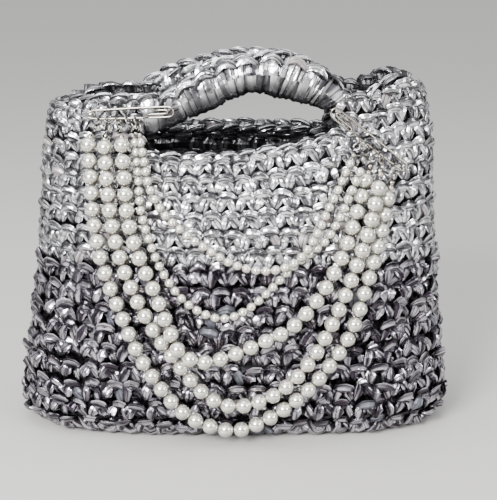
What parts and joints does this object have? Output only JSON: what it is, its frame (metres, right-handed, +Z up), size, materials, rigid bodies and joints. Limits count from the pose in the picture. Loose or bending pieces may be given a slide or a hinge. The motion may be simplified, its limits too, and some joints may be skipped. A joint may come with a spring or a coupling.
{
  "type": "crochet handbag",
  "caption": "Soft boxy crocheted handbag in two metallic tones, with cut-out hand holes under wrapped handles and pearl strands pinned across the front.",
  "frame": {"origin": "middle of the flat base, on the surface that the bag stands on", "axes": "+Z up, the pearl front faces -Y, +X to the viewer's right along the bag's width"},
  "size_m": [0.2836, 0.1614, 0.2441],
  "materials": {
    "silver_yarn": "crinkled metallic silver tape yarn",
    "gunmetal_yarn": "crinkled metallic gunmetal tape yarn with a mauve cast",
    "pearl": "ivory imitation pearl with a soft sheen",
    "nickel_wire": "warm nickel-plated wire"
  },
  "bodies": {
    "root": {"lower_body": "gunmetal_yarn", "upper_body": "silver_yarn", "front_handle": "silver_yarn", "back_handle": "silver_yarn", "pearl_strand_outer": "pearl", "pearl_strand_middle": "pearl", "pearl_strand_inner": "pearl", "small_pearl_strand_lower": "pearl", "small_pearl_strand_upper": "pearl", "left_pin": "nickel_wire", "right_pin": "nickel_wire", "jump_ring_01": "nickel_wire", "jump_ring_02": "nickel_wire", "jump_ring_03": "nickel_wire", "jump_ring_04": "nickel_wire", "jump_ring_05": "nickel_wire", "jump_ring_06": "nickel_wire", "jump_ring_07": "nickel_wire", "jump_ring_08": "nickel_wire", "jump_ring_09": "nickel_wire", "jump_ring_10": "nickel_wire", "small_strand_end_1": "nickel_wire", "small_strand_end_2": "nickel_wire", "small_strand_end_3": "nickel_wire", "small_strand_end_4": "nickel_wire"}
  },
  "joints": []
}
